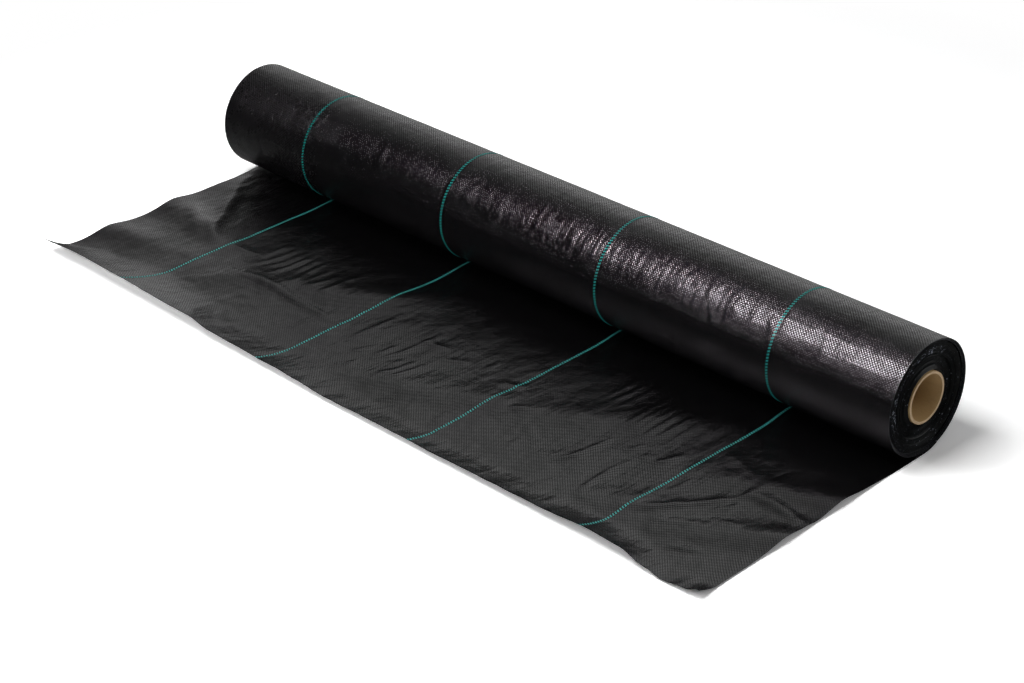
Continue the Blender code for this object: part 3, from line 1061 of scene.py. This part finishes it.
@dataclass
class LooseTurns:
    """The four loose outer turns, one web that winds inwards from the back of the roll."""

    turns: int = 4
    pitch: float = 0.0009
    edge_step: float = 0.0008
    lowered: float = 0.00012
    ragged: float = 0.00035
    ragged_cell: float = 0.55
    ragged_power: int = 40
    flare: float = 0.00010
    flare_cell: float = 0.8
    flare_power: int = 30
    wave: float = 0.00010
    wave_cell: float = 0.028
    steps: int = 96
    columns: int = 118

    def build(self) -> bpy.types.Object:
        """Make the turns, each a step shorter than the one outside it and a little ragged."""
        angle = np.linspace(0.0, math.tau * self.turns, self.turns * self.steps + 1)
        angle = (WRAP_ANGLE + angle)[:, None]
        turn = (angle - WRAP_ANGLE) / math.tau
        share = np.linspace(-1.0, 1.0, self.columns)[None, :]
        side = np.where(share > 0, 1, 2)
        ragged = 1 + drifting(angle, side, (self.ragged_cell, 1.0), seed=21)
        ragged = self.ragged * ragged * np.abs(share) ** self.ragged_power
        x = share * (ROLL_WIDTH / 2 - self.edge_step * turn - ragged)
        flare = self.flare * drifting(angle, side, (self.flare_cell, 1.0), seed=22)
        radius = self.radius(x, angle) + flare * np.abs(share) ** self.flare_power
        depths = (0.0, FABRIC_THICKNESS)
        faces = (stacked(x, *around(radius - depth, angle))[::-1] for depth in depths)
        length = (ROLL_RADIUS - self.pitch * turn / 2) * (angle - WRAP_ANGLE)
        weave = stacked(share * ROLL_WIDTH / 2, length) / TAPE_PITCH + MIDDLE_CELL
        return add_shell("loose_turns", *faces, weave[::-1])

    def radius(self, x: np.ndarray, angle: np.ndarray) -> np.ndarray:
        """Radius of the turns: it falls by the pitch each turn, and waves along the roll."""
        wave = self.wave * drifting(x, 1.0, (self.wave_cell, 1.0), seed=5)
        return ROLL_RADIUS - self.lowered - self.pitch * (angle - WRAP_ANGLE) / math.tau + wave

    def flat_length(self) -> float:
        """Length of web in the turns."""
        return math.tau * self.turns * (ROLL_RADIUS - self.pitch * self.turns / 2)


@dataclass
class WoundBody:
    """The tight turns, whose edges spiral from core to outside on a dished end."""

    bore_radius: float = 0.0288
    outer_radius: float = 0.0587
    turns: int = 70
    rows_per_turn: int = 3
    steps: int = 112
    end_dish: float = 0.0065
    dish: Table = (
        (0.00, 0.40), (0.14, 0.80), (0.50, 1.00), (0.52, 0.78),
        (0.70, 0.74), (0.72, 0.58), (1.00, 0.52),
    )
    wanders: Table = ((0.00060, 1.7), (0.00055, 5.3))
    groove: float = 0.00045
    sharp_angle: float = math.radians(60)

    def setback(
        self, radius: np.ndarray, turn: np.ndarray, groove: np.ndarray, seed: int
    ) -> np.ndarray:
        """How far each edge stands back from the roll's end.

        It is the dish at that radius, plus what that turn has wandered, plus the groove
        between turns.
        """
        share = (radius - self.bore_radius) / (self.outer_radius - self.bore_radius)
        dish = np.interp(share, *zip(*self.dish)) * self.end_dish
        wander = sum(
            reach * drifting(turn, 0.0, (cell, 1.0), seed + number)
            for number, (reach, cell) in enumerate(self.wanders)
        )
        return dish + wander + groove

    def build(self) -> bpy.types.Object:
        """Make both spiral ends, and the bore and outside that join them.

        Row i at a full turn is row i + rows per turn at the start of the next, so each
        end is one spiral band: radius = bore + (i / rows per turn + angle / 2π) × pitch.
        """
        last = self.turns * self.rows_per_turn
        pitch = (self.outer_radius - self.bore_radius) / (self.turns + 1)
        row = np.arange(last + 1)[:, None]
        angle = np.linspace(0.0, math.tau, self.steps + 1)[None, :]
        turn = row / self.rows_per_turn + angle / math.tau
        radius = self.bore_radius + turn * pitch
        y, z = around(radius, angle)
        which_turn = row // self.rows_per_turn + angle / math.tau
        groove = np.where(row % self.rows_per_turn == 0, self.groove, 0.0)
        ids = numbered(last + 1, self.steps + 1)
        ids[: -self.rows_per_turn, -1] = ids[self.rows_per_turn :, 0]
        ends = []
        for side, seed in ((1, 31), (-1, 41)):
            x = side * (ROLL_WIDTH / 2 - self.setback(radius, which_turn, groove, seed))
            ends.append(stacked(x, y, z).reshape(-1, 3))
        far = ids + len(ends[0])
        inside = np.concatenate([ids[0], ids[self.rows_per_turn - 1 :: -1, 0]])
        last_turn = slice(last - 1, last - self.rows_per_turn - 1, -1)
        outside = np.concatenate([ids[last], ids[last_turn, -1]])
        quads = [grid_quads(ids)[:, ::-1], grid_quads(far)]
        for loop, turned_in in ((inside, True), (outside, False)):
            wall = grid_quads(np.stack([loop, loop + len(ends[0])]))
            quads.append(wall[:, ::-1] if turned_in else wall)
        points, quads = self.tidy(np.concatenate(ends), np.concatenate(quads))
        return add_mesh("wound_body", points, quads, sharp_angle=self.sharp_angle)

    @staticmethod
    def tidy(points: np.ndarray, quads: np.ndarray) -> ArrayPair:
        """Leave out the points that no quad uses."""
        used, numbers = np.unique(quads, return_inverse=True)
        return points[used], numbers.reshape(quads.shape)


@dataclass
class Core:
    """Cardboard tube, with its rims eased over."""

    bore_radius: float = 0.025
    wall: float = 0.003
    half_length: float = 0.4985
    easing: float = 0.0004
    corner_share: float = 0.3
    places: int = 24
    steps: int = 96

    def build(self) -> bpy.types.Object:
        """Turn the wall's closed outline about the axis."""
        half, ease, corner = self.half_length, self.easing, self.easing * self.corner_share
        low, high = self.bore_radius, self.bore_radius + self.wall
        along = np.linspace(-half + ease, half - ease, self.places)
        rim = np.array([
            (half - corner, low + corner), (half, low + ease), (half, (low + high) / 2),
            (half, high - ease), (half - corner, high - corner),
        ])
        bore, outside = stacked(along, low), stacked(along[::-1], high)
        outline = np.concatenate([bore, rim, outside, rim[::-1] * (-1, 1)])
        angle = np.linspace(0.0, math.tau, self.steps + 1)[:-1]
        points = stacked(outline[None, :, 0], *around(outline[None, :, 1], angle[:, None]))
        quads = grid_quads(np.pad(numbered(*points.shape[:2]), (0, 1), mode="wrap"))
        return add_mesh("core", points.reshape(-1, 3), quads, sharp_angle=SHARP_ANGLE)


# ---------------------------------------------------------------- studio


@dataclass
class Studio:
    """White floor, pale surround, the lamps and the camera.

    Each soft lamp has a name, a place, a target, a side and a power. rightward holds the
    surround's slope, level and least share, and rearward its start, power and gain.
    """

    camera_place: Triple = (1.64557036, -1.70805329, 1.27399126)
    yaw: float = math.radians(45.1917)
    pitch: float = math.radians(29.4377)
    tilt: float = math.radians(-1.005208)
    lens: float = 84.865
    lamp_place: Triple = (-0.30, -0.99, 1.52)
    lamp_target: Triple = (0.40, 0.0, 0.10)
    strip_size: Pair = (0.90, 0.20)
    strip_colour: Triple = (1.0, 0.92, 1.0)
    strip_offset: float = 0.22
    strip_power: float = 19.0
    soft_lamps: tuple[tuple[str, Triple, Triple, float, float], ...] = (
        ("high fill", (-0.35, -0.90, 2.30), (0.1, -0.1, 0.0), 1.2, 42.0),
        ("low fill", (-1.50, -1.90, 0.90), (0.1, -0.1, 0.0), 1.2, 46.0),
        ("side", (1.85, 0.50, 0.75), (0.5, 0.0, 0.06), 0.5, 7.0),
    )
    white: Triple = (1.0, 1.0, 1.0)
    low_tone: Triple = (0.03, 0.026, 0.03)
    soft_tone: Triple = (0.15, 0.15, 0.152)
    rightward: Triple = (0.9, 1.55, 0.3)
    rearward: Triple = (0.15, 1.8, 1.15)
    floor_half: float = 9.0
    floor_fade: Pair = (0.76, 1.02)
    floor_tone: float = 0.8
    floor_seen: float = 1.45
    # painted reflection tone of the floor for gloss only, by y: dark under the sheet, paler behind
    # the roll
    floor_mirrored: tuple[tuple[float, ...], ...] = (
        (-0.34, -0.05, 0.03, 0.18), (0.1, 0.8, 0.0, 0.5),
    )

    @staticmethod
    def aim(obj: bpy.types.Object, place: Vector, right: Vector, up: Vector, view: Vector) -> None:
        """Put an object at a place, looking along view."""
        turn = Matrix((right, up, -view)).transposed().to_4x4()
        obj.matrix_world = Matrix.Translation(place) @ turn

    @staticmethod
    def square_to(facing: Vector) -> Vector:
        """Direction square to a facing, as near +X as it can be."""
        return (Vector((1.0, 0.0, 0.0)) - facing * facing.x).normalized()

    def add_camera(self) -> None:
        """Place the camera by its heading, its dip and its small tilt."""
        ahead, down = math.cos(self.pitch), math.sin(self.pitch)
        view = Vector((-math.sin(self.yaw) * ahead, math.cos(self.yaw) * ahead, -down))
        level = Vector((math.cos(self.yaw), math.sin(self.yaw), 0.0))
        up = level.cross(view)
        right = math.cos(self.tilt) * level + math.sin(self.tilt) * up
        up = math.cos(self.tilt) * up - math.sin(self.tilt) * level
        camera = bpy.data.cameras.new("camera")
        camera.lens = self.lens
        camera.sensor_width = 36.0
        camera.clip_end = 60.0
        holder = add_object("camera", camera)
        self.aim(holder, Vector(self.camera_place), right, up, view)
        bpy.context.scene.camera = holder

    def add_lamp(
        self, name: str, place: Vector, target: Vector, size: Pair, power: float
    ) -> bpy.types.Object:
        """Hang a soft rectangular lamp, its first side as near along the roll as it can be."""
        facing = (target - place).normalized()
        along = self.square_to(facing)
        light = bpy.data.lights.new(name, "AREA")
        light.shape = "RECTANGLE"
        light.size, light.size_y = size
        light.energy = power
        lamp = add_object(name, light)
        self.aim(lamp, place, along, along.cross(facing), facing)
        return lamp

    def add_lamps(self) -> None:
        """Hang two strips that only gloss shows, two soft fills and a weak lamp by the near end."""
        place, target = Vector(self.lamp_place), Vector(self.lamp_target)
        over = (target - place).normalized()
        over = self.square_to(over).cross(over)
        for name, side in (("upper strip", 1), ("lower strip", -1)):
            shift = over * self.strip_offset * side
            strip = self.add_lamp(
                name, place + shift, target + shift, self.strip_size, self.strip_power
            )
            strip.data.color = self.strip_colour
            strip.visible_diffuse = False
        for name, place, target, size, power in self.soft_lamps:
            lamp = self.add_lamp(name, Vector(place), Vector(target), (size, size), power)
            lamp.visible_glossy = False

    def add_surround(self) -> None:
        """White surround to the camera, and a studio that is darker in front to gloss.

        Gloss sees a blend from the low tone to white, by gain × (y + start)^power ×
        (slope × x + level). Soft light comes at one tone from all round.
        """
        world = bpy.data.worlds.new("surround")
        bpy.context.scene.world = world
        world.use_nodes = True
        wires = Wiring(world.node_tree)
        x, y, _ = wires.split(wires.node("ShaderNodeTexCoord").outputs["Generated"])
        slope, level, least = self.rightward
        start, power, gain = self.rearward
        rightward = wires.math("MAXIMUM", x * slope + level, least)
        rearward = wires.math("MAXIMUM", y + start, 0.0) ** power * gain
        studio = wires.blend(rearward * rightward, self.low_tone, self.white)
        mirrored = wires.math("MAXIMUM", wires.ray("Glossy"), wires.ray("Transmission"))
        colour = wires.blend(mirrored, self.soft_tone, studio)
        colour = wires.blend(wires.ray("Camera"), colour, self.white)
        wires.fill(world.node_tree.nodes["Background"], Color=colour)

    def add_floor(self) -> None:
        """White floor that keeps the shadow round the object and is plain white beyond.

        Gloss sees a painted reflection tone: dark under the sheet, as painted shade, and paler
        behind the roll.
        """
        half = self.floor_half
        corners = [(-half, -half, 0.0), (half, -half, 0.0), (half, half, 0.0), (-half, half, 0.0)]
        floor = add_mesh("floor", np.array(corners), np.array([[0, 1, 2, 3]]))
        material = bpy.data.materials.new("floor")
        material.use_nodes = True
        wires = Wiring(material.node_tree)
        wires.tree.nodes.remove(wires.tree.nodes["Principled BSDF"])
        place = wires.object_place()
        _, y, _ = wires.split(place)
        far = wires.eased(wires.length(place), *self.floor_fade)
        seen, glossy = wires.ray("Camera"), wires.ray("Glossy")
        # painted reflection: gloss sees a tone by y, dark as painted shade under the sheet
        front, rear = (wires.eased(y, *band) for band in self.floor_mirrored)
        tone = glossy * (front + rear) + (1.0 - glossy) * self.floor_tone
        tone = seen * self.floor_seen + (1.0 - seen) * tone
        near = wires.node("ShaderNodeBsdfDiffuse", Color=tone)
        white = wires.node("ShaderNodeEmission", Strength=1.0)
        wires.show_mix(far * seen, near, white)
        floor.data.materials.append(material)

    def build(self) -> None:
        """Set up camera, lamps, surround and floor."""
        self.add_camera()
        self.add_lamps()
        self.add_surround()
        self.add_floor()
        bpy.context.scene.view_settings.view_transform = "Standard"


# ---------------------------------------------------------------- assembly


class Dresser:
    """Gives each piece its material and its body, and hides the nodes it stands for."""

    def __init__(self, frame: dict[str, Any]) -> None:
        """Make every finish once."""
        self.nodes = frame["nodes"]
        self.materials = {
            Slot.CORE: BoardFinish("brown core board").make(),
            Slot.TAPE: TapeFinish("tan start tape").make(),
            Slot.WOUND: EdgeFinish("wound fabric edges").make(),
            Slot.OUTER: WovenFinish(
                "black weave on the roll", weft_specular=0.08, far_dulling=0.13
            ).make(),
            Slot.LAID: WovenFinish(
                "black weave on the floor", tape_relief=0.00010, ring_relief=0.0005, taut_share=1.0
            ).make(),
            Slot.MARKER: MarkerFinish("teal marker tape").make(),
        }
        # the floor's lines are the same teal tape, a copy painted lighter than the roll's for the
        # light it gets there
        self.laid_marker = MarkerFinish(
            "teal marker tape painted lighter on the floor", specular=0.22,
            colour=(0.012, 0.215, 0.205), pale=(0.055, 0.35, 0.33),
        ).make()

    def dress(
        self, piece: bpy.types.Object, slot: Slot, replaced: tuple[str, ...], body: Body | None
    ) -> None:
        """Finish a piece, hide the imported nodes it replaces, and let it ride on a body if one is
        given.
        """
        piece.data.materials.append(self.materials[slot])
        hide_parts(*replaced)
        if body is not None:
            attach(piece, body.value)
        log.info("%s: %d faces, %s", piece.name, len(piece.data.polygons), slot.value)

    def dress_node(self, name: str, slot: Slot) -> None:
        """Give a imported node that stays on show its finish."""
        for entry in self.nodes[name].material_slots:
            entry.material = self.materials[slot]


@dataclass
class Assembly:
    """The whole roll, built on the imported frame."""

    dresser: Dresser
    web: LaidWeb
    line: MarkerLine
    turns: LooseTurns

    def across_joint(self, piece: bpy.types.Object) -> None:
        """Bake a piece's place into its mesh, leaving it on no body."""
        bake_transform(piece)

    def sheet_surface(self, x: np.ndarray, cells: np.ndarray) -> ArrayPair:
        """Points and normals of the laid web's upper face, in weave cells from its free edge."""
        places = self.web.places_along(2)
        s = np.clip(places[0] + cells * TAPE_PITCH, places[0], places[-1])
        normal = self.web.normal(x, s)
        return self.web.underside(x, s) + FABRIC_THICKNESS * normal, normal

    def roll_surface(self, x: np.ndarray, cells: np.ndarray) -> ArrayPair:
        """Points and normals of the outermost turn, counted in weave cells round it."""
        x, angle = np.broadcast_arrays(x, WRAP_ANGLE + cells / self.cells_round() * math.tau)
        y, z = around(1.0, angle)
        normal = stacked(0.0, y, z - AXIS_HEIGHT)
        axis = stacked(x, 0.0, AXIS_HEIGHT)
        return axis + normal * self.turns.radius(x, angle)[..., None], normal

    @staticmethod
    def cells_round() -> int:
        """Even number of weave cells round the roll."""
        return 2 * round(math.pi * ROLL_RADIUS / TAPE_PITCH)

    def build(self) -> None:
        """Build and dress every piece."""
        dress = self.dresser.dress
        web = self.web.build()
        dress(web, Slot.LAID, ("laid_sheet", "lead_off"), None)
        places = self.web.places_along(2)
        web_length = float(places[-1] - places[0])
        turns = self.turns.build()
        dress(turns, Slot.OUTER, ("outer_turns",), Body.ROLL)
        dress(WoundBody().build(), Slot.WOUND, ("wound_fabric",), Body.ROLL)
        dress(Core().build(), Slot.CORE, ("core_tube",), Body.ROLL)
        lines = []
        for number, middle in enumerate(MARKER_PLACES, start=1):
            cells = math.floor(web_length / TAPE_PITCH)
            line = self.line.build(f"sheet_line_{number}", middle, cells, self.sheet_surface)
            dress(line, Slot.MARKER, (f"sheet_marker_{number}",), None)
            # the floor's lines take the copy painted lighter
            line.data.materials[0] = self.dresser.laid_marker
            lines.append(line)
            cells = self.cells_round()
            ring = self.line.build(f"roll_line_{number}", middle, cells, self.roll_surface)
            dress(ring, Slot.MARKER, (f"roll_marker_{number}",), Body.ROLL)
        for number in (1, 2, 3):
            self.dresser.dress_node(f"start_tape_{number}", Slot.TAPE)
        self.turns.flat_length()
        for piece in (web, *lines):
            self.across_joint(piece)


def main() -> None:
    """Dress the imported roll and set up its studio."""
    logging.basicConfig(level=logging.INFO, format="%(message)s")
    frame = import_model()
    Studio().build()
    Assembly(Dresser(frame), LaidWeb(), MarkerLine(), LooseTurns()).build()


if __name__ == "__main__":
    main()
